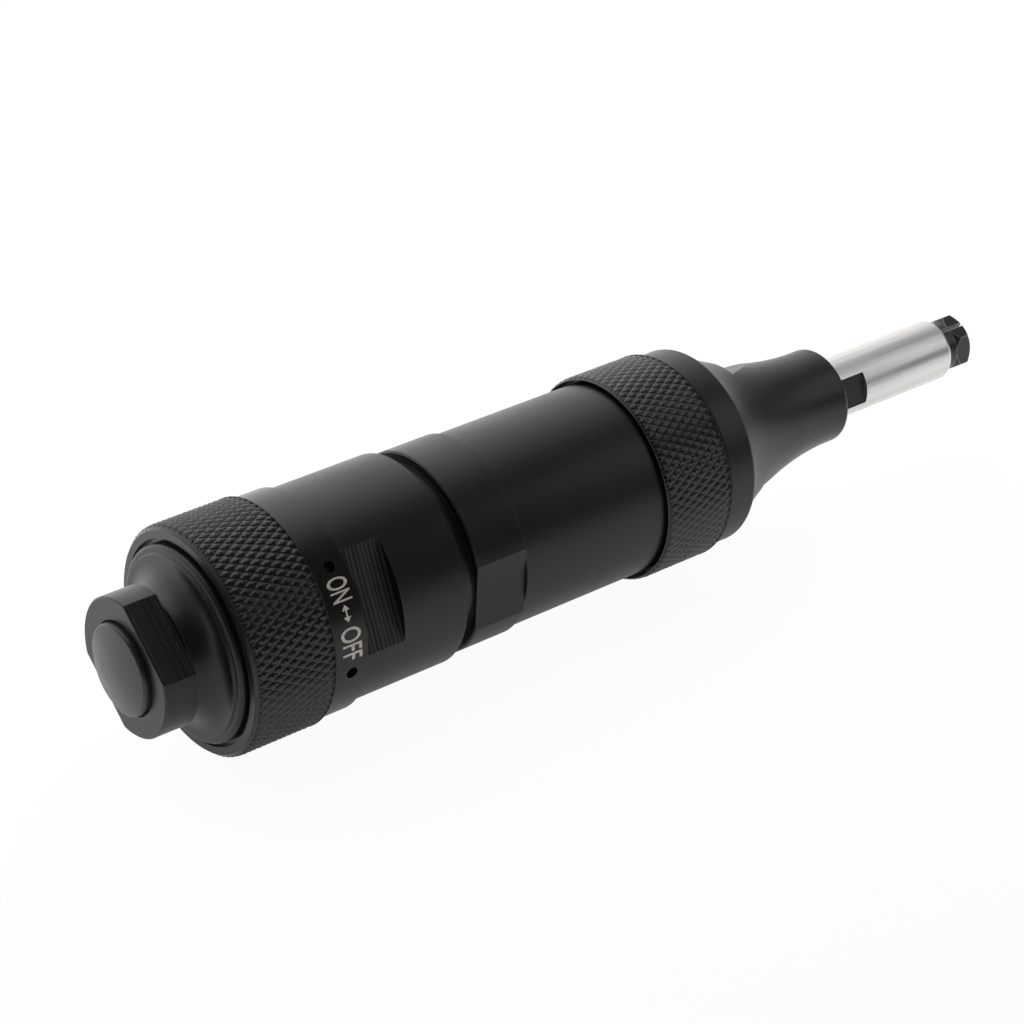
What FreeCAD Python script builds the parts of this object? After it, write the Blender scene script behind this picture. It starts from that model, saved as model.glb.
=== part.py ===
"""Inline pneumatic grinder: twist throttle, vane motor, long nose and a split collet.

Units are millimetres. Along the tool, stations are measured from the rear face of the air
inlet towards the collet, and every solid is moved once, at export, so that the frame's
origin is on the spindle axis at the mouth of the collet bore. +X is the spindle axis,
towards the collet, and +Z is up. Angles round the axis start at +Z and grow towards +Y.
"""

import FreeCAD
import Part
import os
from math import cos, pi, radians, sqrt

Vector = FreeCAD.Vector
ORIGIN = Vector(0, 0, 0)
AXIS = Vector(1, 0, 0)
UP = Vector(0, 0, 1)

# ---------------------------------------------------------------- running and seat clearances
RUN = 0.05  # radial, a part that turns in another
RING_RUN = 0.06  # radial, the throttle ring on its spigot
SEAT = 0.02  # radial, threads and push fits inside one assembly
FACE_RUN = 0.10  # axial, faces that turn past each other
AIR_GAP = 0.30  # between parts that must never touch

# ---------------------------------------------------------------- air inlet bush
HEAD_R = 12.25
HEAD_LENGTH = 6.3
HEAD_CHAMFER = 0.25
HEAD_FLAT = 9.8  # half the spanner size
HEAD_FLAT_ANGLE = -41.0
NECK_R = 11.0
FLARE_R = 15.5
FLARE_LENGTH = 4.65
FLANGE_R = 17.3
FLANGE_THICK = 1.85
BUSH_THREAD_R = 13.0
BUSH_THREAD_LENGTH = 7.0
PORT_MOUTH_R = 8.4
PORT_MOUTH_DEPTH = 1.0
PORT_LEAD_R = 6.9
PORT_LEAD_END = 5.0
PORT_THREAD_R = 5.7225  # minor radius of a G 1/4 thread
PORT_THREAD_LENGTH = 12.0
STRAINER_R = 7.0
STRAINER_THICK = 0.8
STRAINER_HOLE_R = 0.55

# ---------------------------------------------------------------- dust plug
PLUG_CAP_R = 8.1
PLUG_STAND = 2.1  # how far its dome stands out of the inlet
PLUG_RIM_STAND = 0.6
PLUG_EDGE = 0.7
PLUG_STEM_R = 6.7
PLUG_WALL = 1.1

# ---------------------------------------------------------------- throttle ring and its valve
RING_OVERLAP = 0.6  # the ring's rear rim lies this far behind the bush's flange front
RING_KNURL_R = 20.3
RING_KNURL_LENGTH = 15.55
RING_BAND_R = 19.68
RING_BAND_LENGTH = 6.75
RING_RECESS_R = 18.1
SPIGOT_R = 15.5
PIN_SETBACK = 3.3  # from the ring's front face
PIN_R = 1.1
PIN_RECESS = 1.3  # the pins lie this far under the band
PIN_ANGLES = (-44.4, -100.0)
THROTTLE_TRAVEL = 55.0
STOP_ROOM = 0.12  # between a pin and the end of its slot
O_RING_SECTION = 1.2
VALVE_R = 12.5
VALVE_WALL = 2.2
VALVE_DISC = 2.0
VALVE_SEAT_THICK = 2.0
VALVE_PORT_IN_R = 4.6
VALVE_PORT_OUT_R = 8.6
VALVE_PORT_SPREAD = 50.0
VALVE_PORT_ANGLES = (10.0, 190.0)

# ---------------------------------------------------------------- rear body
BODY_R = 19.0
BODY_LENGTH = 21.0
BODY_CHAMFER = 0.45
BODY_FLAT = 16.7
BODY_FLAT_ANGLE = -67.0
BODY_FLAT_LENGTH = 7.7
WEB_THICK = 2.4
PLENUM_R = 9.0
SUPPLY_BORE_R = 5.6
SUPPLY_WALL = 1.4
BOSS_R = 9.5
SKIRT_BORE_R = 17.1
SKIRT_LENGTH = 5.3

# ---------------------------------------------------------------- exhaust collar
GROOVE_R = 16.5
GROOVE_WIDTH = 2.95
COLLAR_R = 18.29
COLLAR_LENGTH = 10.35
COLLAR_FLAT = 17.14
COLLAR_FLAT_ANGLE = -93.6
COLLAR_CHAMFER = 0.3
COLLAR_THREAD_R = 15.4
COLLAR_TAIL_BORE_R = 14.0
COLLAR_BORE_R = 15.0
EXHAUST_HOLES = 12
EXHAUST_HOLE_R = 1.1

# ---------------------------------------------------------------- motor
SLEEVE_R = 17.78
SLEEVE_LENGTH = 30.6  # what shows between the collar and the front ring
SLEEVE_BORE_R = 15.4
SLEEVE_TAIL_R = 16.6
LINER_R = 14.4
LINER_BORE_R = 12.6
LINER_OFFSET = 1.0
ROTOR_R = 11.5
ROTOR_END_GAP = 0.2
VANE_COUNT = 5
VANE_THICK = 2.0
VANE_HEIGHT = 6.0
VANE_SLOT_FLOOR = 5.3
JOURNAL_R = 4.0
JOURNAL_HOLE_GAP = 0.35  # radial, round the rotor's shaft in both end plates
REAR_PLATE_LENGTH = 4.6
FRONT_PLATE_LENGTH = 7.5
DOWEL_R = 0.75
BELL_R = 13.0
BELL_BORE_R = 12.0
WASHER_THICK = 0.7

# ---------------------------------------------------------------- front ring and nose
FRONT_RING_R = 19.06
FRONT_RING_KNURL_LENGTH = 14.1
FRONT_RING_LIP = 0.65
FRONT_RING_RECESS_R = 18.55
FRONT_RING_RECESS_DEPTH = 2.8
CLAMP_THREAD_R = 17.0
NOSE_SPIGOT_LENGTH = 8.15  # from the flange's rear face
NOSE_FLANGE_R = 18.2
NOSE_FLANGE_LENGTH = 4.95
NOSE_SHOULDER_R = 17.31
NOSE_SHOULDER_LENGTH = 1.3
NOSE_FLARE_LENGTH = 30.2
NOSE_TIP_R = 8.96
NOSE_ROUND = 1.0
NOSE_FLAT = 10.48
NOSE_FLAT_ANGLE = 27.0
NOSE_FLAT_LENGTH = 23.8
NOSE_BORE_R = 7.3
NOSE_LIP_LENGTH = 6.9
NOSE_LIP_BORE_R = 6.2

# ---------------------------------------------------------------- spindle and collet
SPINDLE_SEAT_R = 6.0
SPINDLE_R = 5.8
SPINDLE_REACH = 29.5  # out of the nose
SPINDLE_SHOULDER_R = 7.0
SPINDLE_SHOULDER_LENGTH = 3.0
SPINDLE_MOUTH_CHAMFER = 0.5
SPINDLE_MOUTH_DROP = 0.2
SPINDLE_FLAT = 4.97
SPINDLE_FLAT_ANGLE = -77.0
SPINDLE_FLAT_REACH = 7.4  # out of the nose
SPINDLE_FLAT_DEPTH = 6.0  # into the nose
SPINDLE_NUT_R = 8.5
SPINDLE_NUT_FLAT = 7.5
TANG_HALF = 2.85
TANG_LENGTH = 7.5
COLLET_DEPTH = 21.0  # in the spindle
COLLET_THREAD_R = 4.0
COLLET_THREAD_LENGTH = 8.0
COLLET_CONE_LENGTH = 6.3
COLLET_CONE_REAR_R = 4.25
COLLET_CONE_FRONT_R = 4.6
COLLET_NECK_R = 4.8
COLLET_NECK_LENGTH = 2.45
COLLET_HEX_LENGTH = 3.95
COLLET_HEX_HALF = 4.8
COLLET_HEX_REAR_CONE = 0.97
COLLET_HEX_FRONT_CONE = 1.2
COLLET_HEX_ANGLE = -54.3
COLLET_BORE_R = 3.0
COLLET_SLIT = 0.75
COLLET_SLIT_LENGTH = 18.5
COLLET_SLITS = 3

BALL_GAP = 0.03
BEARING_CHAMFER = 0.3
REACH = 60.0  # longer than any cut needs
BEND = 1 - sqrt(0.5)  # how far in a quarter round lies from its corner, over its radius

# ---------------------------------------------------------------- stations along the tool
FLANGE_REAR = HEAD_LENGTH + FLARE_LENGTH
FLANGE_FRONT = FLANGE_REAR + FLANGE_THICK
BUSH_FRONT = FLANGE_FRONT + BUSH_THREAD_LENGTH
THREAD_START = PORT_LEAD_END + 0.5
THREAD_END = THREAD_START + PORT_THREAD_LENGTH
RING_REAR = FLANGE_FRONT - RING_OVERLAP
RING_SHOULDER = FLANGE_FRONT + 0.5
RING_KNURL_END = RING_REAR + RING_KNURL_LENGTH
RING_FRONT = RING_KNURL_END + RING_BAND_LENGTH
PIN_STATION = RING_FRONT - PIN_SETBACK
O_RING_STATIONS = (RING_SHOULDER + 3.3, PIN_STATION - 4.0)
VALVE_REAR = BUSH_FRONT + 0.8
VALVE_FRONT = PIN_STATION + PIN_R + 0.5 + VALVE_DISC
VALVE_O_RING_STATIONS = (VALVE_REAR + 2.0, PIN_STATION - 4.2)
SEAT_START = VALVE_FRONT + FACE_RUN
WEB_START = SEAT_START + VALVE_SEAT_THICK
WEB_END = WEB_START + WEB_THICK
PLENUM_END = WEB_END + 2.1
CHAMBER_FLOOR = PLENUM_END + 0.6
BODY_REAR = RING_FRONT + FACE_RUN
BODY_FRONT = BODY_REAR + BODY_LENGTH
SKIRT_START = BODY_FRONT - SKIRT_LENGTH
BOSS_END = SKIRT_START - AIR_GAP
COLLAR_TAIL_START = CHAMBER_FLOOR + 1.2
COLLAR_REAR = BODY_FRONT + GROOVE_WIDTH
COLLAR_FRONT = COLLAR_REAR + COLLAR_LENGTH
PLATE_SEAT_START = COLLAR_REAR + 2.85
LINER_START = PLATE_SEAT_START + REAR_PLATE_LENGTH
FRONT_RING_REAR = COLLAR_FRONT + SLEEVE_LENGTH
FRONT_RING_KNURL_END = FRONT_RING_REAR + FRONT_RING_KNURL_LENGTH
FRONT_RING_FRONT = FRONT_RING_KNURL_END + FRONT_RING_LIP
NOSE_FLANGE_REAR = FRONT_RING_FRONT + FACE_RUN
NOSE_SPIGOT_START = NOSE_FLANGE_REAR - NOSE_SPIGOT_LENGTH
FRONT_PLATE_END = NOSE_SPIGOT_START - WASHER_THICK
LINER_END = FRONT_PLATE_END - FRONT_PLATE_LENGTH
SLEEVE_END = NOSE_SPIGOT_START + 2.0
NOSE_FLANGE_FRONT = NOSE_FLANGE_REAR + NOSE_FLANGE_LENGTH
NOSE_SHOULDER = NOSE_FLANGE_FRONT + NOSE_SHOULDER_LENGTH
NOSE_FRONT = NOSE_SHOULDER + NOSE_FLARE_LENGTH + NOSE_ROUND
NOSE_LIP_START = NOSE_FRONT - NOSE_LIP_LENGTH
SPINDLE_REAR = NOSE_SPIGOT_START + AIR_GAP
TANG_START = FRONT_PLATE_END + 0.5
TANG_END = TANG_START + TANG_LENGTH
SPINDLE_FRONT = NOSE_FRONT + SPINDLE_REACH
COLLET_TAIL = SPINDLE_FRONT - COLLET_DEPTH
COLLET_CONE_START = SPINDLE_FRONT - COLLET_CONE_LENGTH
COLLET_HEX_START = SPINDLE_FRONT + COLLET_NECK_LENGTH
COLLET_FRONT = COLLET_HEX_START + COLLET_HEX_LENGTH

# bearings: rear station, width, bore radius, outer radius, ball radius, number of balls
BEARINGS = {
    "motor_rear_bearing": (PLATE_SEAT_START - 5.4, 5.0, JOURNAL_R, 8.0, 1.2, 8),
    "motor_front_bearing": (FRONT_PLATE_END - 6.0, 6.0, JOURNAL_R, 9.5, 1.6, 8),
    "nose_rear_bearing": (NOSE_SPIGOT_START + 3.3, 8.0, SPINDLE_SEAT_R, 14.0, 2.4, 8),
    "nose_front_bearing": (NOSE_FRONT - 29.8, 5.0, SPINDLE_SEAT_R, 10.5, 1.35, 12),
}


# ---------------------------------------------------------------- solid helpers
def turned(*outline):
    """A solid turned from an outline of (station, radius); four numbers arc through the last two."""
    edges = []
    here = Vector(outline[0][0], 0, outline[0][1])
    for point in outline[1:] + outline[:1]:
        there = Vector(point[0], 0, point[1])
        if len(point) == 4:
            edges.append(Part.Arc(here, Vector(point[2], 0, point[3]), there).toShape())
        elif here.distanceToPoint(there) > 1e-6:
            edges.append(Part.LineSegment(here, there).toShape())
        here = there
    return Part.Face(Part.Wire(edges)).revolve(ORIGIN, AXIS, 360)


def tube(start, end, inner, outer, chamfer=0.0):
    """A plain tube, with its outer corners broken by a chamfer."""
    return turned(
        (start, inner),
        (start, outer - chamfer),
        (start + chamfer, outer),
        (end - chamfer, outer),
        (end, outer - chamfer),
        (end, inner),
    )


def swung(shape, angle):
    """A shape drawn at the top of the tool, swung round the axis to its angle."""
    shape = shape.copy()
    shape.rotate(ORIGIN, AXIS, -angle)
    return shape


def radial_pin(station, radius, low, high, angle):
    """A round pin or hole that points straight out from the axis."""
    return swung(Part.makeCylinder(radius, high - low, Vector(station, 0, low), UP), angle)


def axial_pin(start, end, radius, out, angle):
    """A round pin or hole along the tool, its centre this far out from the axis."""
    return swung(Part.makeCylinder(radius, end - start, Vector(start, 0, out), AXIS), angle)


def block(start, end, half_width, low, high, angle=0.0):
    """A block beside the axis, between two distances out from it."""
    return swung(
        Part.makeBox(end - start, 2 * half_width, high - low, Vector(start, -half_width, low)), angle
    )


def flats(start, end, distance, angle, count=2):
    """The waste of flats milled round the axis: what lies further out than distance."""
    waste = [
        block(start, end, REACH, distance, REACH, angle + turn * 360.0 / count)
        for turn in range(count)
    ]
    return waste[0].fuse(waste[1:])


def sector(start, end, inner, outer, first, last):
    """A stretch of a ring, from its first angle to its last."""
    corners = [
        Vector(start, 0, inner),
        Vector(end, 0, inner),
        Vector(end, 0, outer),
        Vector(start, 0, outer),
        Vector(start, 0, inner),
    ]
    face = Part.Face(Part.makePolygon(corners))
    return swung(face.revolve(ORIGIN, AXIS, last - first), last)


def degrees_at(length, radius):
    """The angle that a length takes up along a circle."""
    return length / radius * 180.0 / pi


def torus(station, ring_r, section_r):
    """A round ring about the axis."""
    return Part.makeTorus(ring_r, section_r, Vector(station, 0, 0), AXIS)


def export(name, *solids):
    """Writes one node, moved from stations into the tool's own frame."""
    shape = solids[0] if len(solids) == 1 else Part.makeCompound(list(solids))
    shape = shape.removeSplitter() if len(solids) == 1 else shape
    shape = shape.copy()
    shape.translate(Vector(-COLLET_FRONT, 0, 0))
    os.makedirs("parts", exist_ok=True)
    shape.exportStep("parts/" + name + ".step")
    print(name, len(shape.Solids), round(shape.Volume, 2), shape.isValid())


# ---------------------------------------------------------------- inlet
def inlet_bush():
    flare_start = HEAD_LENGTH + 0.4
    flare_end = FLANGE_REAR - 0.4
    flare_via = (
        flare_end - (flare_end - flare_start) * BEND,
        NECK_R + (FLARE_R - NECK_R) * BEND,
    )
    lip = 0.85
    lip_via = (FLANGE_REAR + lip * BEND, FLANGE_R - lip * BEND)
    body = turned(
        (0, PORT_MOUTH_R),
        (0, HEAD_R - HEAD_CHAMFER),
        (HEAD_CHAMFER, HEAD_R),
        (HEAD_LENGTH, HEAD_R),
        (HEAD_LENGTH, NECK_R),
        (flare_start, NECK_R),
        (flare_end, FLARE_R) + flare_via,
        (flare_end, FLARE_R + 0.3),
        (FLANGE_REAR, FLARE_R + 0.6),
        (FLANGE_REAR, FLANGE_R - lip),
        (FLANGE_REAR + lip, FLANGE_R) + lip_via,
        (FLANGE_FRONT, FLANGE_R),
        (FLANGE_FRONT, BUSH_THREAD_R - SEAT),
        (BUSH_FRONT, BUSH_THREAD_R - SEAT),
        (BUSH_FRONT, STRAINER_R),
        (THREAD_END, STRAINER_R),
        (THREAD_END, PORT_THREAD_R),
        (THREAD_START, PORT_THREAD_R),
        (PORT_LEAD_END, PORT_LEAD_R),
        (PORT_MOUTH_DEPTH, PORT_LEAD_R),
        (PORT_MOUTH_DEPTH, PORT_MOUTH_R),
    )
    return body.cut(flats(-1, HEAD_LENGTH + 0.1, HEAD_FLAT, HEAD_FLAT_ANGLE))


def inlet_strainer():
    disc = Part.makeCylinder(STRAINER_R, STRAINER_THICK, Vector(THREAD_END, 0, 0), AXIS)
    holes = [axial_pin(THREAD_END - 1, THREAD_END + 2, STRAINER_HOLE_R, 0, 0)]
    for circle in (1, 2, 3):
        for turn in range(6 * circle):
            angle = turn * 60.0 / circle
            holes.append(axial_pin(THREAD_END - 1, THREAD_END + 2, STRAINER_HOLE_R, 1.7 * circle, angle))
    return disc.cut(holes)


def strainer_clip():
    """The spring ring that keeps the strainer in the bush."""
    start = THREAD_END + STRAINER_THICK
    ring = tube(start, start + 0.9, STRAINER_R - 1.0, STRAINER_R)
    return ring.cut(block(start - 1, start + 2, 1.2, 0, REACH, 90))


def dust_plug():
    stem_end = PORT_LEAD_END - 0.2
    face = -PLUG_RIM_STAND - PLUG_EDGE
    corner_via = (face + PLUG_EDGE * BEND, PLUG_CAP_R - PLUG_EDGE * BEND)
    dome_r = PLUG_CAP_R - PLUG_EDGE
    crown_via = (-PLUG_STAND + (PLUG_STAND + face) * 0.27, dome_r * 0.52)
    return turned(
        (-PLUG_STAND, 0),
        (face, dome_r) + crown_via,
        (-PLUG_RIM_STAND, PLUG_CAP_R) + corner_via,
        (PORT_MOUTH_DEPTH - FACE_RUN, PLUG_CAP_R),
        (PORT_MOUTH_DEPTH - FACE_RUN, PLUG_STEM_R),
        (stem_end - 0.4, PLUG_STEM_R),
        (stem_end, PLUG_STEM_R - 0.4),
        (stem_end, PLUG_STEM_R - PLUG_WALL),
        (PORT_MOUTH_DEPTH, PLUG_STEM_R - PLUG_WALL),
        (PORT_MOUTH_DEPTH, 0),
    )


# ---------------------------------------------------------------- throttle
RING_BORE_R = SPIGOT_R + RING_RUN
VALVE_BORE_R = VALVE_R + RUN
VALVE_BORE_INNER_R = VALVE_R - VALVE_WALL
PIN_FOOT = VALVE_BORE_INNER_R + 0.5


def throttle_ring():
    body = turned(
        (RING_REAR, RING_RECESS_R),
        (RING_REAR, RING_KNURL_R - 0.87),
        (RING_REAR + 0.8, RING_KNURL_R),
        (RING_KNURL_END - 0.3, RING_KNURL_R),
        (RING_KNURL_END, RING_KNURL_R - 0.3),
        (RING_KNURL_END, RING_BAND_R),
        (RING_FRONT - 0.25, RING_BAND_R),
        (RING_FRONT, RING_BAND_R - 0.25),
        (RING_FRONT, RING_BORE_R),
        (RING_SHOULDER, RING_BORE_R),
        (RING_SHOULDER, RING_RECESS_R),
    )
    return body.cut([radial_pin(PIN_STATION, PIN_R, RING_BORE_R - 3, REACH, a) for a in PIN_ANGLES])


def throttle_pins():
    """Dowels that tie the throttle ring to the rotary valve inside the body."""
    head = RING_BAND_R - PIN_RECESS
    return [radial_pin(PIN_STATION, PIN_R - SEAT, PIN_FOOT, head, a) for a in PIN_ANGLES]


def ring_wave_washer():
    return tube(FLANGE_FRONT, RING_SHOULDER - FACE_RUN, SPIGOT_R + 0.3, FLANGE_R - 0.2)


def o_rings(stations, surface_r, bore_gap):
    """Rings squeezed between a groove's floor and the bore outside them."""
    section = O_RING_SECTION / 2
    return [torus(s, surface_r + bore_gap / 2 - section, section) for s in stations]


def o_ring_grooves(stations, surface_r, bore_gap):
    half = O_RING_SECTION * 0.65
    floor = surface_r + bore_gap / 2 - O_RING_SECTION - SEAT
    return [tube(s - half, s + half, floor, REACH) for s in stations]


def valve_ports(start, end):
    """The two air ports, cut through the seat and, swung aside, through the valve's floor."""
    half = VALVE_PORT_SPREAD / 2
    return [
        sector(start - 1, end + 1, VALVE_PORT_IN_R, VALVE_PORT_OUT_R, a - half, a + half)
        for a in VALVE_PORT_ANGLES
    ]


def rotary_valve():
    """A cup that turns with the ring; its floor opens and closes the ports of the seat."""
    cup = turned(
        (VALVE_REAR, VALVE_BORE_INNER_R),
        (VALVE_REAR, VALVE_R),
        (VALVE_FRONT, VALVE_R),
        (VALVE_FRONT, 0),
        (VALVE_FRONT - VALVE_DISC, 0),
        (VALVE_FRONT - VALVE_DISC, VALVE_BORE_INNER_R),
    )
    holes = [radial_pin(PIN_STATION, PIN_R, PIN_FOOT, REACH, a) for a in PIN_ANGLES]
    ports = [swung(p, THROTTLE_TRAVEL) for p in valve_ports(VALVE_FRONT - VALVE_DISC, VALVE_FRONT)]
    grooves = o_ring_grooves(VALVE_O_RING_STATIONS, VALVE_R, RUN)
    return cup.cut(holes + ports + grooves)


def valve_wave_washer():
    return tube(BUSH_FRONT, VALVE_REAR - FACE_RUN, VALVE_BORE_INNER_R + 0.2, VALVE_R - 0.2)


def valve_seat():
    disc = Part.makeCylinder(VALVE_R, VALVE_SEAT_THICK, Vector(SEAT_START, 0, 0), AXIS)
    return disc.cut(valve_ports(SEAT_START, WEB_START))


def rear_body():
    body = turned(
        (FLANGE_FRONT, BUSH_THREAD_R),
        (FLANGE_FRONT, SPIGOT_R),
        (BODY_REAR, SPIGOT_R),
        (BODY_REAR, BODY_R - 0.2),
        (BODY_REAR + 0.2, BODY_R),
        (BODY_FRONT - BODY_CHAMFER, BODY_R),
        (BODY_FRONT, BODY_R - BODY_CHAMFER),
        (BODY_FRONT, SKIRT_BORE_R),
        (SKIRT_START, SKIRT_BORE_R),
        (SKIRT_START, COLLAR_THREAD_R),
        (CHAMBER_FLOOR, COLLAR_THREAD_R),
        (CHAMBER_FLOOR, BOSS_R),
        (BOSS_END, BOSS_R),
        (BOSS_END, SUPPLY_BORE_R + SUPPLY_WALL),
        (BOSS_END - 4, SUPPLY_BORE_R + SUPPLY_WALL),
        (BOSS_END - 4, SUPPLY_BORE_R),
        (PLENUM_END, SUPPLY_BORE_R),
        (WEB_END + 0.5, PLENUM_R),
        (WEB_END, PLENUM_R),
        (WEB_END, 0),
        (WEB_START, 0),
        (WEB_START, VALVE_BORE_R),
        (BUSH_FRONT + SEAT, VALVE_BORE_R),
        (BUSH_FRONT + SEAT, BUSH_THREAD_R),
    )
    slot_half = degrees_at(PIN_R + STOP_ROOM, VALVE_BORE_R)
    first = min(PIN_ANGLES) - THROTTLE_TRAVEL - slot_half
    last = max(PIN_ANGLES) + slot_half
    width = PIN_R + STOP_ROOM
    slot = sector(PIN_STATION - width, PIN_STATION + width, VALVE_BORE_R - 1, SPIGOT_R + 1, first, last)
    flat = flats(BODY_REAR - 0.01, BODY_REAR + BODY_FLAT_LENGTH, BODY_FLAT, BODY_FLAT_ANGLE)
    grooves = o_ring_grooves(O_RING_STATIONS, SPIGOT_R, RING_RUN)
    return body.cut([slot, flat] + valve_ports(WEB_START, WEB_END) + grooves)


# ---------------------------------------------------------------- exhaust collar and motor casing
def exhaust_collar():
    body = turned(
        (COLLAR_TAIL_START, COLLAR_TAIL_BORE_R),
        (COLLAR_TAIL_START, COLLAR_THREAD_R - SEAT),
        (SKIRT_START + 0.1, COLLAR_THREAD_R - SEAT),
        (SKIRT_START + 0.1, GROOVE_R),
        (COLLAR_REAR, GROOVE_R),
        (COLLAR_REAR, COLLAR_R - COLLAR_CHAMFER),
        (COLLAR_REAR + COLLAR_CHAMFER, COLLAR_R),
        (COLLAR_FRONT - COLLAR_CHAMFER, COLLAR_R),
        (COLLAR_FRONT, COLLAR_R - COLLAR_CHAMFER),
        (COLLAR_FRONT, SLEEVE_TAIL_R),
        (PLATE_SEAT_START, SLEEVE_TAIL_R),
        (PLATE_SEAT_START, COLLAR_BORE_R),
        (SKIRT_START + 1, COLLAR_BORE_R),
        (SKIRT_START + 1, COLLAR_TAIL_BORE_R),
    )
    waste = flats(COLLAR_REAR, COLLAR_FRONT + 1, COLLAR_FLAT, COLLAR_FLAT_ANGLE)
    turn = 360.0 / EXHAUST_HOLES
    holes = [
        radial_pin(SKIRT_START + 3, EXHAUST_HOLE_R, COLLAR_BORE_R - 1, REACH, k * turn)
        for k in range(EXHAUST_HOLES)
    ]
    return body.cut([waste] + holes)


def supply_tube():
    """Carries air from the valve, past the exhaust chamber, to the motor's rear plate."""
    rear = BOSS_END - 4
    outer = SUPPLY_BORE_R + SUPPLY_WALL - SEAT
    return turned(
        (rear, SUPPLY_BORE_R),
        (rear, outer),
        (BOSS_END + 1, outer),
        (BOSS_END + 3, BELL_R),
        (PLATE_SEAT_START, BELL_R),
        (PLATE_SEAT_START, BELL_BORE_R),
        (BOSS_END + 4, BELL_BORE_R),
        (BOSS_END + 2, SUPPLY_BORE_R),
    )


def exhaust_silencer():
    return tube(PLATE_SEAT_START - 4.5, PLATE_SEAT_START - 0.4, BELL_R + SEAT, COLLAR_BORE_R - SEAT, 0.2)


def motor_sleeve():
    thread_start = FRONT_RING_REAR + FRONT_RING_RECESS_DEPTH
    return turned(
        (PLATE_SEAT_START, SLEEVE_BORE_R),
        (PLATE_SEAT_START, SLEEVE_TAIL_R - SEAT),
        (COLLAR_FRONT, SLEEVE_TAIL_R - SEAT),
        (COLLAR_FRONT, SLEEVE_R - 0.1),
        (COLLAR_FRONT + 0.1, SLEEVE_R),
        (thread_start, SLEEVE_R),
        (thread_start, CLAMP_THREAD_R - SEAT),
        (SLEEVE_END, CLAMP_THREAD_R - SEAT),
        (SLEEVE_END, SLEEVE_BORE_R),
    )


# ---------------------------------------------------------------- vane motor
PLATE_R = SLEEVE_BORE_R - SEAT
JOURNAL_HOLE_R = JOURNAL_R + JOURNAL_HOLE_GAP
DOWEL_OUT = (LINER_R + LINER_BORE_R - LINER_OFFSET) / 2
DOWEL_ANGLE = 180.0


def rear_end_plate():
    start, width, _, bearing_r = BEARINGS["motor_rear_bearing"][:4]
    boss_start = PLATE_SEAT_START - 1.6
    body = turned(
        (start - 0.4, bearing_r),
        (start - 0.4, bearing_r + 0.9),
        (boss_start, bearing_r + 0.9),
        (boss_start, BELL_BORE_R - SEAT),
        (PLATE_SEAT_START, BELL_BORE_R - SEAT),
        (PLATE_SEAT_START, PLATE_R),
        (LINER_START, PLATE_R),
        (LINER_START, JOURNAL_HOLE_R),
        (start + width, JOURNAL_HOLE_R),
        (start + width, bearing_r),
    )
    port_r = bearing_r + 1.4
    inlet_floor = sector(boss_start - 1, LINER_START + 1, port_r, BELL_BORE_R - 0.6, -110, -40)
    inlet_mouth = sector(LINER_START - 2, LINER_START + 1, port_r, LINER_BORE_R + 0.2, -110, -40)
    notches = [
        sector(PLATE_SEAT_START - 1, LINER_START + 1, LINER_R + 0.1, PLATE_R + 1, a, a + 26)
        for a in (52, 88, 124)
    ]
    dowel = axial_pin(LINER_START - 2.1, LINER_START + 1, DOWEL_R, DOWEL_OUT, DOWEL_ANGLE)
    return body.cut([inlet_floor, inlet_mouth, dowel] + notches)


def front_end_plate():
    start, _, _, bearing_r = BEARINGS["motor_front_bearing"][:4]
    body = turned(
        (LINER_END, JOURNAL_HOLE_R),
        (LINER_END, PLATE_R),
        (FRONT_PLATE_END, PLATE_R),
        (FRONT_PLATE_END, bearing_r),
        (start, bearing_r),
        (start, JOURNAL_HOLE_R),
    )
    return body.cut(axial_pin(LINER_END - 1, LINER_END + 2.1, DOWEL_R, DOWEL_OUT, DOWEL_ANGLE))


def liner():
    """The motor's cylinder: its bore is set off the axis, and one side is open to the exhaust."""
    length = LINER_END - LINER_START
    shell = Part.makeCylinder(LINER_R, length, Vector(LINER_START, 0, 0), AXIS)
    bore = Part.makeCylinder(LINER_BORE_R, length + 2, Vector(LINER_START - 1, 0, LINER_OFFSET), AXIS)
    pitch = 4.0
    first = LINER_START + 3
    slots = [
        sector(first + k * pitch, first + k * pitch + 2, LINER_BORE_R - 2, LINER_R + 1, 65, 125)
        for k in range(int((length - 6) / pitch) + 1)
    ]
    holes = [
        axial_pin(LINER_START - 1, LINER_START + 2.1, DOWEL_R, DOWEL_OUT, DOWEL_ANGLE),
        axial_pin(LINER_END - 2.1, LINER_END + 1, DOWEL_R, DOWEL_OUT, DOWEL_ANGLE),
    ]
    return shell.cut([bore] + slots + holes)


def liner_dowels():
    return [
        axial_pin(s - 2, s + 2, DOWEL_R - SEAT, DOWEL_OUT, DOWEL_ANGLE) for s in (LINER_START, LINER_END)
    ]


def rotor():
    start = LINER_START + ROTOR_END_GAP
    end = LINER_END - ROTOR_END_GAP
    clip = BEARINGS["motor_rear_bearing"][0] - 0.85
    body = turned(
        (clip - 0.6, 0),
        (clip - 0.6, JOURNAL_R - 0.3),
        (clip - 0.3, JOURNAL_R - SEAT),
        (clip, JOURNAL_R - SEAT),
        (clip, JOURNAL_R - 0.5),
        (clip + 0.75, JOURNAL_R - 0.5),
        (clip + 0.75, JOURNAL_R - SEAT),
        (start, JOURNAL_R - SEAT),
        (start, ROTOR_R),
        (end, ROTOR_R),
        (end, JOURNAL_R - SEAT),
        (TANG_END - 0.3, JOURNAL_R - SEAT),
        (TANG_END, JOURNAL_R - 0.3),
        (TANG_END, 0),
    )
    slots = [
        block(start - 1, end + 1, VANE_THICK / 2 + RUN, VANE_SLOT_FLOOR, REACH, k * 360.0 / VANE_COUNT)
        for k in range(VANE_COUNT)
    ]
    tang = flats(TANG_START, TANG_END + 1, TANG_HALF, 0)
    return body.cut(slots + [tang])


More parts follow.
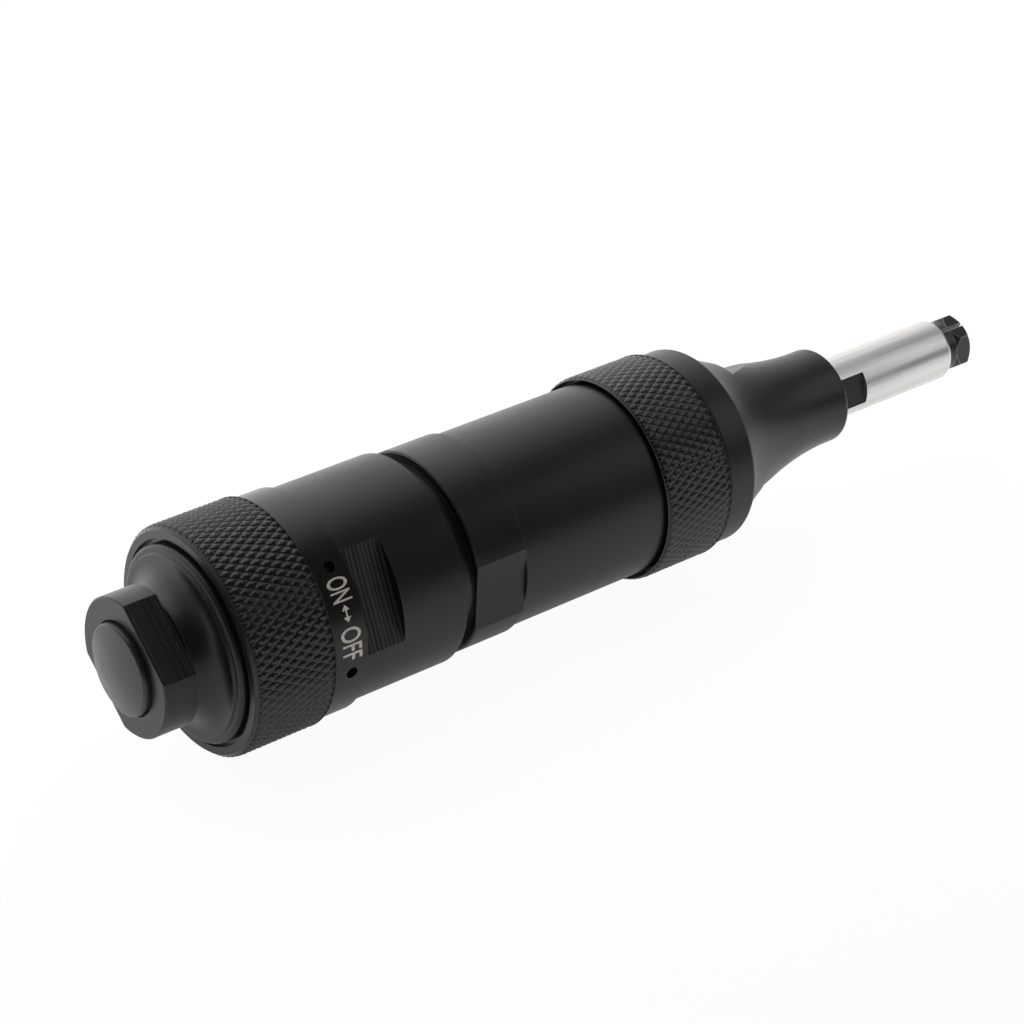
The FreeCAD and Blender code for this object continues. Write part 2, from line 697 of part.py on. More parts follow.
def vane(index):
    """A vane, pushed down into its slot until it just clears the nearest side of the liner."""
    start = LINER_START + ROTOR_END_GAP
    end = LINER_END - ROTOR_END_GAP
    low = VANE_SLOT_FLOOR + 0.05
    top = low + VANE_HEIGHT
    plank = block(start, end, VANE_THICK / 2, low, top)
    round_top = Part.makeCylinder(VANE_HEIGHT + low, end - start, Vector(start, 0, 0), AXIS)
    return swung(plank.common(round_top), index * 360.0 / VANE_COUNT)


def rotor_circlip():
    clip = BEARINGS["motor_rear_bearing"][0] - 0.8
    ring = tube(clip, clip + 0.65, JOURNAL_R - 0.48, JOURNAL_R + 1.3)
    return ring.cut(block(clip - 1, clip + 2, 1.0, 0, REACH, 180))


def bearing_parts(name):
    """Outer race, inner race, balls and cage of one deep-groove bearing."""
    start, width, bore_r, outer_r, ball_r, count = BEARINGS[name]
    middle = start + width / 2
    pitch_r = (bore_r + outer_r) / 2
    land = ball_r * 0.5
    groove = torus(middle, pitch_r, ball_r + BALL_GAP)
    outer = tube(start, start + width, pitch_r + land, outer_r, BEARING_CHAMFER).cut(groove)
    inner = tube(start, start + width, bore_r, pitch_r - land).cut(groove)
    cage = tube(
        middle - ball_r - 0.4, middle + ball_r + 0.4, pitch_r - land * 0.6, pitch_r + land * 0.6
    )
    balls = [
        swung(Part.makeSphere(ball_r, Vector(middle, 0, pitch_r)), k * 360.0 / count) for k in range(count)
    ]
    pockets = [
        swung(Part.makeSphere(ball_r + RUN, Vector(middle, 0, pitch_r)), k * 360.0 / count)
        for k in range(count)
    ]
    return outer, inner, balls, cage.cut(pockets)


def preload_washer():
    return tube(FRONT_PLATE_END, NOSE_SPIGOT_START, 11.0, 14.8)


# ---------------------------------------------------------------- front ring and nose
def front_ring():
    recess_end = FRONT_RING_REAR + FRONT_RING_RECESS_DEPTH
    return turned(
        (FRONT_RING_REAR, FRONT_RING_RECESS_R),
        (FRONT_RING_REAR + 0.3, FRONT_RING_R),
        (FRONT_RING_KNURL_END, FRONT_RING_R),
        (FRONT_RING_FRONT, FRONT_RING_R - 0.6),
        (FRONT_RING_FRONT, CLAMP_THREAD_R),
        (recess_end, CLAMP_THREAD_R),
        (recess_end, FRONT_RING_RECESS_R),
    )


def nose_outline():
    """The nose's outer surface as edges: flange, its round front, the flare and the tip."""
    shoulder_via = (NOSE_SHOULDER - 0.33, NOSE_FLANGE_R - 0.28)
    flange = [
        Vector(NOSE_SPIGOT_START, 0, PLATE_R),
        Vector(SLEEVE_END, 0, PLATE_R),
        Vector(SLEEVE_END, 0, CLAMP_THREAD_R - SEAT),
        Vector(NOSE_FLANGE_REAR, 0, CLAMP_THREAD_R - SEAT),
        Vector(NOSE_FLANGE_REAR, 0, NOSE_FLANGE_R - 0.3),
        Vector(NOSE_FLANGE_REAR + 0.3, 0, NOSE_FLANGE_R),
        Vector(NOSE_FLANGE_FRONT, 0, NOSE_FLANGE_R),
    ]
    edges = [Part.LineSegment(a, b).toShape() for a, b in zip(flange, flange[1:])]
    corner = Vector(NOSE_SHOULDER, 0, NOSE_SHOULDER_R)
    via = Vector(shoulder_via[0], 0, shoulder_via[1])
    edges.append(Part.Arc(flange[-1], via, corner).toShape())
    flare = Part.BezierCurve()
    tip_start = Vector(NOSE_FRONT - NOSE_ROUND, 0, NOSE_TIP_R)
    drop = NOSE_SHOULDER_R - NOSE_TIP_R
    flare.setPoles([
        corner,
        corner + Vector(NOSE_FLARE_LENGTH * 0.265, 0, -drop * 0.678),
        corner + Vector(NOSE_FLARE_LENGTH * 0.68, 0, -drop * 1.033),
        tip_start,
    ])
    edges.append(flare.toShape())
    tip_end = Vector(NOSE_FRONT, 0, NOSE_TIP_R - NOSE_ROUND)
    bend = NOSE_ROUND * BEND
    tip_via = Vector(NOSE_FRONT - bend, 0, NOSE_TIP_R - bend)
    edges.append(Part.Arc(tip_start, tip_via, tip_end).toShape())
    return edges, tip_end


def nose_housing():
    rear_start, rear_width, _, rear_r = BEARINGS["nose_rear_bearing"][:4]
    front_start, front_width, _, front_r = BEARINGS["nose_front_bearing"][:4]
    edges, tip_end = nose_outline()
    inside = [
        tip_end,
        Vector(NOSE_FRONT, 0, NOSE_LIP_BORE_R),
        Vector(NOSE_LIP_START, 0, NOSE_LIP_BORE_R),
        Vector(NOSE_LIP_START, 0, NOSE_BORE_R),
        Vector(front_start + front_width, 0, NOSE_BORE_R),
        Vector(front_start + front_width, 0, front_r),
        Vector(rear_start + rear_width, 0, front_r),
        Vector(rear_start + rear_width, 0, rear_r),
        Vector(NOSE_SPIGOT_START, 0, rear_r),
        Vector(NOSE_SPIGOT_START, 0, PLATE_R),
    ]
    edges += [Part.LineSegment(a, b).toShape() for a, b in zip(inside, inside[1:])]
    body = Part.Face(Part.Wire(edges)).revolve(ORIGIN, AXIS, 360)
    return body.cut(flats(NOSE_FRONT - NOSE_FLAT_LENGTH, NOSE_FRONT + 1, NOSE_FLAT, NOSE_FLAT_ANGLE))


def shaft_seal():
    return tube(NOSE_LIP_START - 5.5, NOSE_LIP_START, SPINDLE_R + RUN, NOSE_BORE_R - SEAT, 0.3)


# ---------------------------------------------------------------- spindle group
def bearing_spacer():
    rear_start, rear_width = BEARINGS["nose_rear_bearing"][:2]
    front_start = BEARINGS["nose_front_bearing"][0]
    return tube(rear_start + rear_width, front_start, SPINDLE_SEAT_R, SPINDLE_SEAT_R + 1.6, 0.2)


def spindle_nut():
    start = SPINDLE_REAR + AIR_GAP
    end = BEARINGS["nose_rear_bearing"][0]
    body = tube(start, end, SPINDLE_SEAT_R, SPINDLE_NUT_R, 0.4)
    return body.cut(flats(start - 1, end + 1, SPINDLE_NUT_FLAT, 0, 6))


def spindle():
    front_start, front_width = BEARINGS["nose_front_bearing"][:2]
    shoulder = front_start + front_width
    shoulder_end = shoulder + SPINDLE_SHOULDER_LENGTH
    seat_r = SPINDLE_SEAT_R - SEAT
    cone_front_r = COLLET_CONE_FRONT_R + RUN
    cone_rear_r = COLLET_CONE_REAR_R + RUN
    thread_r = COLLET_THREAD_R + RUN
    body = turned(
        (SPINDLE_REAR, 0),
        (SPINDLE_REAR, seat_r - 0.3),
        (SPINDLE_REAR + 0.3, seat_r),
        (shoulder, seat_r),
        (shoulder, SPINDLE_SHOULDER_R),
        (shoulder_end, SPINDLE_SHOULDER_R),
        (shoulder_end, SPINDLE_R),
        (SPINDLE_FRONT - SPINDLE_MOUTH_CHAMFER, SPINDLE_R),
        (SPINDLE_FRONT, SPINDLE_R - SPINDLE_MOUTH_DROP),
        (SPINDLE_FRONT, cone_front_r),
        (COLLET_CONE_START, cone_rear_r),
        (COLLET_CONE_START, thread_r),
        (COLLET_TAIL - 2, thread_r),
        (COLLET_TAIL - 2, COLLET_BORE_R + 0.1),
        (COLLET_TAIL - 10, COLLET_BORE_R + 0.1),
        (COLLET_TAIL - 10, 0),
    )
    start = SPINDLE_REAR - 1
    end = TANG_END + 0.5
    half = TANG_HALF + RUN
    socket = Part.makeCylinder(JOURNAL_R + RUN, end - start, Vector(start, 0, 0), AXIS)
    socket = socket.common(block(start, end, REACH, -half, half))
    flat_start = NOSE_FRONT - SPINDLE_FLAT_DEPTH
    flat_end = NOSE_FRONT + SPINDLE_FLAT_REACH
    return body.cut([socket, flats(flat_start, flat_end, SPINDLE_FLAT, SPINDLE_FLAT_ANGLE)])


def collet():
    corner_r = COLLET_HEX_HALF / cos(radians(30))
    thread_end = COLLET_TAIL + COLLET_THREAD_LENGTH
    waist_r = COLLET_THREAD_R - 0.35
    rear_corner = COLLET_HEX_START + COLLET_HEX_REAR_CONE
    front_corner = COLLET_FRONT - COLLET_HEX_FRONT_CONE
    body = turned(
        (COLLET_TAIL, COLLET_BORE_R),
        (COLLET_TAIL, COLLET_THREAD_R - 0.3),
        (COLLET_TAIL + 0.3, COLLET_THREAD_R),
        (thread_end - 0.3, COLLET_THREAD_R),
        (thread_end, waist_r),
        (COLLET_CONE_START + RUN, waist_r),
        (COLLET_CONE_START + RUN + 0.5, COLLET_CONE_REAR_R),
        (SPINDLE_FRONT, COLLET_CONE_FRONT_R),
        (SPINDLE_FRONT + FACE_RUN, COLLET_NECK_R),
        (COLLET_HEX_START, COLLET_NECK_R),
        (rear_corner, corner_r),
        (front_corner, corner_r),
        (COLLET_FRONT, corner_r - 1.25),
        (COLLET_FRONT, COLLET_BORE_R),
    )
    waste = [flats(COLLET_HEX_START - 0.2, COLLET_FRONT + 1, COLLET_HEX_HALF, COLLET_HEX_ANGLE + 30, 6)]
    for k in range(COLLET_SLITS):
        angle = COLLET_HEX_ANGLE + 30 + k * 360.0 / COLLET_SLITS
        slit_start = COLLET_FRONT - COLLET_SLIT_LENGTH
        waste.append(block(slit_start, COLLET_FRONT + 1, COLLET_SLIT / 2, 1, REACH, angle))
    return body.cut(waste)


# ---------------------------------------------------------------- write every node
export("inlet_bush", inlet_bush())
export("inlet_strainer", inlet_strainer())
export("strainer_clip", strainer_clip())
export("dust_plug", dust_plug())
export("throttle_ring", throttle_ring())
export("throttle_pins", *throttle_pins())
export("ring_wave_washer", ring_wave_washer())
export("ring_o_rings", *o_rings(O_RING_STATIONS, SPIGOT_R, RING_RUN))
export("rotary_valve", rotary_valve())
export("valve_o_rings", *o_rings(VALVE_O_RING_STATIONS, VALVE_R, RUN))
export("valve_wave_washer", valve_wave_washer())
export("valve_seat", valve_seat())
export("rear_body", rear_body())
export("exhaust_collar", exhaust_collar())
export("supply_tube", supply_tube())
export("exhaust_silencer", exhaust_silencer())
export("motor_sleeve", motor_sleeve())
export("rear_end_plate", rear_end_plate())
export("front_end_plate", front_end_plate())
export("liner", liner())
export("liner_dowels", *liner_dowels())
export("rotor", rotor())
for number in range(VANE_COUNT):
    export("vane_" + str(number + 1), vane(number))
export("rotor_circlip", rotor_circlip())
for bearing in BEARINGS:
    outer_race, inner_race, bearing_balls, bearing_cage = bearing_parts(bearing)
    export(bearing + "_outer_race", outer_race)
    export(bearing + "_inner_race", inner_race)
    export(bearing + "_balls", *bearing_balls)
    export(bearing + "_cage", bearing_cage)
export("preload_washer", preload_washer())
export("front_ring", front_ring())
export("nose_housing", nose_housing())
export("shaft_seal", shaft_seal())
export("bearing_spacer", bearing_spacer())
export("spindle_nut", spindle_nut())
export("spindle", spindle())
export("collet", collet())
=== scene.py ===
# %% [markdown]
# # A straight air grinder
#
# The tool is a string of turned black parts on one axis: an air inlet, a knurled throttle
# ring, the body, a motor sleeve, a second knurled ring, a flared nose, a bright ground
# spindle and a small slit collet. Every part already exists as a precise CAD solid. Blender
# adds what CAD left out: the diamonds of the knurls, the engraved marks, and finishes that
# look turned, milled, ground or moulded.
#
# The imported model comes in first and stays where it is. Its box is kept, to be set against
# the finished object's box at the end.

# %% Load the frame
import math
import bmesh
import bpy
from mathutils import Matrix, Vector


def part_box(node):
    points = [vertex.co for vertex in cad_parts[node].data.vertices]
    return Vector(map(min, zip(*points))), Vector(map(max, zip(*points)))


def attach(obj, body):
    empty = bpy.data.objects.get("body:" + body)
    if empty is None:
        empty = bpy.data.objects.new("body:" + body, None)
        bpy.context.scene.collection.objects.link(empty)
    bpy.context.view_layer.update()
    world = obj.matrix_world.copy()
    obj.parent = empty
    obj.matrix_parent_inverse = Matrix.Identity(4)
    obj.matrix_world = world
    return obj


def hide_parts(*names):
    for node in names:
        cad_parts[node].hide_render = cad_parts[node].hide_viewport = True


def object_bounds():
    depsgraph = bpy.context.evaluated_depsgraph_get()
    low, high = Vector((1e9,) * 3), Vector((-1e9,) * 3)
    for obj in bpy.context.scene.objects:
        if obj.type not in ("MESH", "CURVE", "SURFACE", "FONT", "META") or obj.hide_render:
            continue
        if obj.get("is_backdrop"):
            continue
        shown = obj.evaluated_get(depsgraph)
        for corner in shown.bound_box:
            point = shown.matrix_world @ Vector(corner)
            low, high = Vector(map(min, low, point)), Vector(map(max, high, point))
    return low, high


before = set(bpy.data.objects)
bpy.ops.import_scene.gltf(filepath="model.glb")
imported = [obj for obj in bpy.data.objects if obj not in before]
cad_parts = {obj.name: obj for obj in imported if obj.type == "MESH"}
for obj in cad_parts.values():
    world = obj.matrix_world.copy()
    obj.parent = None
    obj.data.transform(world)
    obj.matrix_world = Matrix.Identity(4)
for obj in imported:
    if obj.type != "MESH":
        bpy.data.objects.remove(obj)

MM = 0.001
cad_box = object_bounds()
scene = bpy.context.scene
scene.view_settings.view_transform = "Standard"
print("CAD box in mm:", [round(v / MM, 2) for corner in cad_box for v in corner])

# %% [markdown]
# ## The camera
#
# The tool is seen from behind its inlet, from the left and from above. A long lens from half
# a metre away keeps the rings nearly round, as in a catalogue picture. A camera is easiest to
# keep as a direction, a distance and a point to aim at, so those are the named values.

# %% The camera
VIEW_TURN = math.radians(38.09)  # away from looking straight along +Y, towards the nose
VIEW_DROP = math.radians(30.29)  # how steeply it looks down
VIEW_DISTANCE = 0.5597
VIEW_AIM = Vector((-0.10432, 0.00501, -0.00312))
VIEW_LENS = 111.3

looking = Vector((
    math.sin(VIEW_TURN) * math.cos(VIEW_DROP),
    math.cos(VIEW_TURN) * math.cos(VIEW_DROP),
    -math.sin(VIEW_DROP),
))
camera = bpy.data.objects.new("camera", bpy.data.cameras.new("camera"))
scene.collection.objects.link(camera)
camera.location = VIEW_AIM - looking * VIEW_DISTANCE
camera.rotation_euler = looking.to_track_quat("-Z", "Y").to_euler()
camera.data.lens = VIEW_LENS
camera.data.sensor_width = 36
camera.data.clip_start = 0.01
scene.camera = camera
print("camera at", [round(v, 4) for v in camera.location])

# %% [markdown]
# ## Building nodes in a few words
#
# Every material below is a small node tree. Two helpers keep them readable. `add` makes a
# node and fills or links its sockets in one call, and `new_group` starts a shader group with
# named inputs and outputs, so that an effect is built once and used by many materials.

# %% Node helpers
def add(tree, kind, sockets=(), **settings):
    """A new node; a socket given as another node's socket is linked, any other value is set."""
    made = tree.nodes.new(kind)
    for name, value in settings.items():
        setattr(made, name, value)
    for key, value in dict(sockets).items():
        if isinstance(value, bpy.types.NodeSocket):
            tree.links.new(value, made.inputs[key])
        else:
            made.inputs[key].default_value = value
    return made


def maths(tree, operation, first, second=0.0, third=0.0):
    """One sum: the output of a Math node."""
    made = add(tree, "ShaderNodeMath", {0: first, 1: second, 2: third}, operation=operation)
    return made.outputs[0]


def new_group(name, inputs, outputs):
    """An empty shader group, with plain number inputs, and its two end nodes."""
    tree = bpy.data.node_groups.new(name, "ShaderNodeTree")
    for label, value in inputs.items():
        socket = tree.interface.new_socket(label, in_out="INPUT", socket_type="NodeSocketFloat")
        socket.default_value = value
    for label in outputs:
        tree.interface.new_socket(label, in_out="OUTPUT", socket_type="NodeSocketFloat")
    return tree, tree.nodes.new("NodeGroupInput"), tree.nodes.new("NodeGroupOutput")


def place_group(tree, group, **values):
    """A group put into a material, its inputs set by name with _ for a space."""
    made = add(tree, "ShaderNodeGroup", node_tree=group)
    for label, value in values.items():
        made.inputs[label.replace("_", " ")].default_value = value
    return made


print("helpers ready")

# %% [markdown]
# ## Lines left by the lathe
#
# A lathe tool leaves fine rings. Along a cylinder they lie at one station each, and across an
# end face at one radius each. Adding station and radius gives one number that changes across
# the lines on both, and a noise in that one number makes lines of uneven depth. It reads
# object coordinates, whose X is the tool's axis, so the lines stay put when a part turns.

# %% The turned lines group
turned_lines, given, result = new_group("Turned lines", {"Pitch": 0.12}, ["Height", "Tone"])
place = add(turned_lines, "ShaderNodeTexCoord")
split = add(turned_lines, "ShaderNodeSeparateXYZ", {0: place.outputs["Object"]})
across = add(turned_lines, "ShaderNodeCombineXYZ", {1: split.outputs[1], 2: split.outputs[2]})
radius = add(turned_lines, "ShaderNodeVectorMath", {0: across.outputs[0]}, operation="LENGTH")
travel = maths(turned_lines, "ADD", split.outputs[0], radius.outputs["Value"])
count = maths(turned_lines, "DIVIDE", maths(turned_lines, "DIVIDE", travel, MM),
              given.outputs["Pitch"])
lines = add(turned_lines, "ShaderNodeTexNoise", {"W": count, "Scale": 1.0, "Detail": 2.0},
            noise_dimensions="1D")
patches = add(turned_lines, "ShaderNodeTexNoise",
              {"Vector": place.outputs["Object"], "Scale": 90.0, "Detail": 3.0})
turned_lines.links.new(lines.outputs["Fac"], result.inputs["Height"])
blend = add(turned_lines, "ShaderNodeMix",
            {0: 0.5, 2: lines.outputs["Fac"], 3: patches.outputs["Fac"]})
turned_lines.links.new(blend.outputs[0], result.inputs["Tone"])
print("group:", turned_lines.name)

# %% [markdown]
# ## Lines left by the milling cutter
#
# The spanner flats are milled, not turned. The cutter leaves coarser straight lines across the
# flat, each at one station. The group answers where a flat is in two ways at once: the surface
# faces out at the given angle round the axis, or straight away from it, and it lies no further
# out than the flat does. Its lines rise and fall like a saw's teeth, unevenly spaced.

# %% The milled flat group
milled_flat, given, result = new_group(
    "Milled flat", {"Angle": 0.0, "Distance": 10.0, "Pitch": 0.8}, ["Mask", "Height"])
place = add(milled_flat, "ShaderNodeTexCoord")
facing = add(milled_flat, "ShaderNodeCombineXYZ", {
    1: maths(milled_flat, "SINE", given.outputs["Angle"]),
    2: maths(milled_flat, "COSINE", given.outputs["Angle"]),
})
same = add(milled_flat, "ShaderNodeVectorMath", {0: place.outputs["Normal"], 1: facing.outputs[0]},
           operation="DOT_PRODUCT")
square_on = maths(milled_flat, "GREATER_THAN",
                  maths(milled_flat, "ABSOLUTE", same.outputs["Value"]), 0.9995)
depth = add(milled_flat, "ShaderNodeVectorMath", {0: place.outputs["Object"], 1: facing.outputs[0]},
            operation="DOT_PRODUCT")
allowed = maths(milled_flat, "ADD", given.outputs["Distance"], 0.05)
deep = maths(milled_flat, "LESS_THAN",
             maths(milled_flat, "ABSOLUTE", depth.outputs["Value"]),
             maths(milled_flat, "MULTIPLY", allowed, MM))
milled_flat.links.new(maths(milled_flat, "MULTIPLY", square_on, deep), result.inputs["Mask"])
split = add(milled_flat, "ShaderNodeSeparateXYZ", {0: place.outputs["Object"]})
count = maths(milled_flat, "DIVIDE", maths(milled_flat, "DIVIDE", split.outputs[0], MM),
              given.outputs["Pitch"])
wander = add(milled_flat, "ShaderNodeTexNoise", {"W": count, "Scale": 0.7, "Detail": 2.0},
             noise_dimensions="1D")
teeth = maths(milled_flat, "PINGPONG", maths(milled_flat, "ADD", count, wander.outputs["Fac"]), 0.5)
milled_flat.links.new(maths(milled_flat, "MULTIPLY", teeth, 2.0), result.inputs["Height"])
print("group:", milled_flat.name)

# %% [markdown]
# ## Worn and highlighted edges, and dust
#
# Black finishes wear first where a part is handled: on its edges. The same lighter edges also
# paint the thin highlights that light catches along edges and seams, so the edge mask is partly
# wear and partly painted highlight. The Bevel node rounds the surface's direction near an edge,
# so the difference between that and the true direction is an edge mask with a width in real
# units. Dust is the opposite of wear: a few pale specks that lie anywhere. A Voronoi texture
# gives one point in each cell, and only the cells with a high random value keep theirs.

# %% The edge wear and highlight group, and the dust group
edge_wear_and_highlight, given, result = new_group("Edge wear and highlight", {"Width": 0.1, "Amount": 1.0}, ["Mask"])
rounded = add(edge_wear_and_highlight, "ShaderNodeBevel",
              {0: maths(edge_wear_and_highlight, "MULTIPLY", given.outputs["Width"], MM)}, samples=6)
true_way = add(edge_wear_and_highlight, "ShaderNodeNewGeometry")
same = add(edge_wear_and_highlight, "ShaderNodeVectorMath", {0: rounded.outputs[0], 1: true_way.outputs["Normal"]},
           operation="DOT_PRODUCT")
edge = add(edge_wear_and_highlight, "ShaderNodeMapRange", {0: same.outputs["Value"], 1: 0.995, 2: 0.93})
place = add(edge_wear_and_highlight, "ShaderNodeTexCoord")
uneven = add(edge_wear_and_highlight, "ShaderNodeTexNoise",
             {"Vector": place.outputs["Object"], "Scale": 600.0, "Detail": 3.0})
# patchy edges: uneven wear, and uneven painted highlight
patchy_edges = add(edge_wear_and_highlight, "ShaderNodeMapRange",
           {0: uneven.outputs["Fac"], 1: 0.3, 2: 0.62, 3: 0.35, 4: 1.0})
both = maths(edge_wear_and_highlight, "MULTIPLY", edge.outputs[0], patchy_edges.outputs[0])
edge_wear_and_highlight.links.new(maths(edge_wear_and_highlight, "MULTIPLY", both, given.outputs["Amount"]),
                    result.inputs["Mask"])

dust, given, result = new_group("Dust", {"Spacing": 2.6, "Size": 0.04}, ["Mask"])
place = add(dust, "ShaderNodeTexCoord")
cells = add(dust, "ShaderNodeTexVoronoi", {
    "Vector": place.outputs["Object"],
    "Scale": maths(dust, "DIVIDE", 1.0 / MM, given.outputs["Spacing"]),
})
reach = maths(dust, "MULTIPLY", cells.outputs["Distance"], given.outputs["Spacing"])
chance = add(dust, "ShaderNodeSeparateColor", {0: cells.outputs["Color"]})
limit = maths(dust, "MULTIPLY", given.outputs["Size"],
              maths(dust, "MULTIPLY", chance.outputs[1], 2.0))
near = maths(dust, "LESS_THAN", reach, limit)
kept = maths(dust, "GREATER_THAN", chance.outputs[0], 0.35)
dust.links.new(maths(dust, "MULTIPLY", near, kept), result.inputs["Mask"])
print("groups:", edge_wear_and_highlight.name, "and", dust.name)

# %% [markdown]
# ## The finishes
#
# Most of the tool is one finish: turned steel with a satin black coat. It is a dark surface
# that is not a bare metal, so its light comes from gloss alone. The lathe lines stir its gloss
# and its bump, the edges are lighter, partly from wear and partly as a painted highlight along
# edges and seams, and specks of dust lie on it. A part with flats takes the milled lines there
# instead of the lathe's.

# %% Satin black steel
def start_material(name, roughness, metallic=0.0):
    """A material with its Principled shader, both set to what does not change over a surface."""
    material = bpy.data.materials.new(name)
    material.use_nodes = True
    shader = material.node_tree.nodes["Principled BSDF"]
    shader.inputs["Roughness"].default_value = roughness
    shader.inputs["Metallic"].default_value = metallic
    return material, material.node_tree, shader


def mixed(tree, share, first, second):
    """A colour between two, by a mask."""
    made = add(tree, "ShaderNodeMix", {0: share}, data_type="RGBA")
    for socket, value in ((made.inputs[6], first), (made.inputs[7], second)):
        if isinstance(value, bpy.types.NodeSocket):
            tree.links.new(value, socket)
        else:
            socket.default_value = (*value, 1.0)
    return made.outputs[2]


def spread(tree, value, low, high):
    """A mask of 0 to 1 stretched between two numbers."""
    made = add(tree, "ShaderNodeMapRange", {0: value, 1: 0.3, 2: 0.7, 3: low, 4: high})
    return made.outputs[0]


def bumped(tree, shader, height):
    """A height in millimetres pressed into a shader's surface."""
    bump = add(tree, "ShaderNodeBump",
               {"Height": height, "Distance": MM, "Strength": 1.0})
    tree.links.new(bump.outputs[0], shader.inputs["Normal"])


BLACK = (0.0036, 0.0036, 0.0040)
# lighter edge colour: partly a rubbed coat, partly a painted highlight along edges and seams
BLACK_RUBBED_AND_HIGHLIT = (0.20, 0.195, 0.19)
FLAT_CREST = (0.06, 0.058, 0.06)
DUST_COLOUR = (0.30, 0.29, 0.27)
RIDGE = 0.06  # height of a milled line, in millimetres


def satin_black(name, roughness=0.36, pitch=0.12, depth=0.0012, wear=0.8, flat=None):
    """Turned steel with a black coat, and milled lines on flats given as angle, distance, pitch."""
    material, tree, shader = start_material(name, roughness)
    marks = place_group(tree, turned_lines, Pitch=pitch)
    edges = place_group(tree, edge_wear_and_highlight, Width=0.12, Amount=wear)
    specks = place_group(tree, dust)
    colour = mixed(tree, marks.outputs["Tone"], BLACK, [v * 1.6 for v in BLACK])
    # lighter edges: partly wear, partly painted highlight
    colour = mixed(tree, edges.outputs[0], colour, BLACK_RUBBED_AND_HIGHLIT)
    height = maths(tree, "MULTIPLY", marks.outputs["Height"], depth)
    if flat is not None:
        milled = place_group(tree, milled_flat, Angle=math.radians(flat[0]), Distance=flat[1],
                             Pitch=flat[2])
        ridges = maths(tree, "MULTIPLY", milled.outputs["Height"], RIDGE)
        height = add(tree, "ShaderNodeMix",
                     {0: milled.outputs["Mask"], 2: height, 3: ridges}).outputs[0]
        crests = maths(tree, "MULTIPLY", milled.outputs["Mask"],
                       spread(tree, milled.outputs["Height"], 0.0, 0.8))
        colour = mixed(tree, crests, colour, FLAT_CREST)
    tree.links.new(mixed(tree, specks.outputs[0], colour, DUST_COLOUR),
                   shader.inputs["Base Color"])
    tree.links.new(spread(tree, marks.outputs["Tone"], roughness - 0.04, roughness + 0.06),
                   shader.inputs["Roughness"])
    bumped(tree, shader, height)
    return material


black_plain = satin_black("black_steel_turned")
black_bush = satin_black("black_steel_inlet", flat=(-41.0, 9.8, 0.55))
black_body = satin_black("black_steel_body", flat=(-67.0, 16.7, 0.8))
black_knurl = satin_black("black_steel_knurled", roughness=0.27, wear=0.5)
print("satin black finishes:", 4)

# %% [markdown]
# ## Bare and oxidised metals
#
# The spindle is ground and left bright, with fine lines round it and faint darker streaks along
# it, partly drawn marks and partly painted reflection bands. Its two spanner flats are coloured
# a dark grey. They are found by the milled flat group, as on the body.
# The collet is black oxide, so thin that its edges and corners have rubbed through to metal.
# There the surface changes from a dark coat to bare steel, so one mask drives colour and metal
# together. The parts inside use the same recipe with their own values.

# %% Metals
# darker streaks along the spindle: partly drawn marks, partly painted reflection bands
STREAKS_AND_REFLECTION_BANDS = (25.0, 1200.0, 1200.0)  # per metre: long along the axis, narrow round it
DARK_FLAT = (0.035, 0.055)  # the flat's grey in its lines' valleys and on their crests


def bare_metal(name, colour, roughness, pitch=0.08, depth=0.0008, shade=0.8, streak_and_reflection=0.0,
               flat=None):
    """Turned or ground metal, with streaks along it, partly painted reflection bands, and darkened
    flats where asked for.
    """
    material, tree, shader = start_material(name, roughness, metallic=1.0)
    marks = place_group(tree, turned_lines, Pitch=pitch)
    edges = place_group(tree, edge_wear_and_highlight, Width=0.08, Amount=0.6)
    tint = mixed(tree, marks.outputs["Tone"], [v * shade for v in colour], colour)
    tint = mixed(tree, edges.outputs[0], tint, [min(1.0, v * 1.25) for v in colour])
    # darker streaks along the axis: partly drawn marks, partly painted reflection bands
    if streak_and_reflection:
        place = add(tree, "ShaderNodeTexCoord")
        drawn = add(tree, "ShaderNodeMapping", {0: place.outputs["Object"], 3: STREAKS_AND_REFLECTION_BANDS})
        noise = add(tree, "ShaderNodeTexNoise",
                    {"Vector": drawn.outputs[0], "Scale": 1.0, "Detail": 2.0})
        tint = mixed(tree, spread(tree, noise.outputs["Fac"], streak_and_reflection, 0.0), tint,
                     [v * 0.45 for v in colour])
    if flat is not None:
        milled = place_group(tree, milled_flat, Angle=math.radians(flat[0]), Distance=flat[1],
                             Pitch=0.3)
        dark = spread(tree, milled.outputs["Height"], *DARK_FLAT)
        tint = mixed(tree, milled.outputs["Mask"], tint, dark)
    tree.links.new(tint, shader.inputs["Base Color"])
    tree.links.new(spread(tree, marks.outputs["Tone"], roughness * 0.8, roughness * 1.25),
                   shader.inputs["Roughness"])
    bumped(tree, shader, maths(tree, "MULTIPLY", marks.outputs["Height"], depth))
    return material


def oxidised(name, coat, bare, roughness, wear):
    """Black oxide, worn through to bright steel along its edges."""
    material, tree, shader = start_material(name, roughness)
    marks = place_group(tree, turned_lines, Pitch=0.15)
    edges = place_group(tree, edge_wear_and_highlight, Width=0.2, Amount=wear)
    colour = mixed(tree, marks.outputs["Tone"], coat, [v * 1.8 for v in coat])
    tree.links.new(mixed(tree, edges.outputs[0], colour, bare), shader.inputs["Base Color"])
    tree.links.new(edges.outputs[0], shader.inputs["Metallic"])
    tree.links.new(spread(tree, marks.outputs["Tone"], roughness - 0.05, roughness + 0.08),
                   shader.inputs["Roughness"])
    bumped(tree, shader, maths(tree, "MULTIPLY", marks.outputs["Height"], 0.0015))
    return material


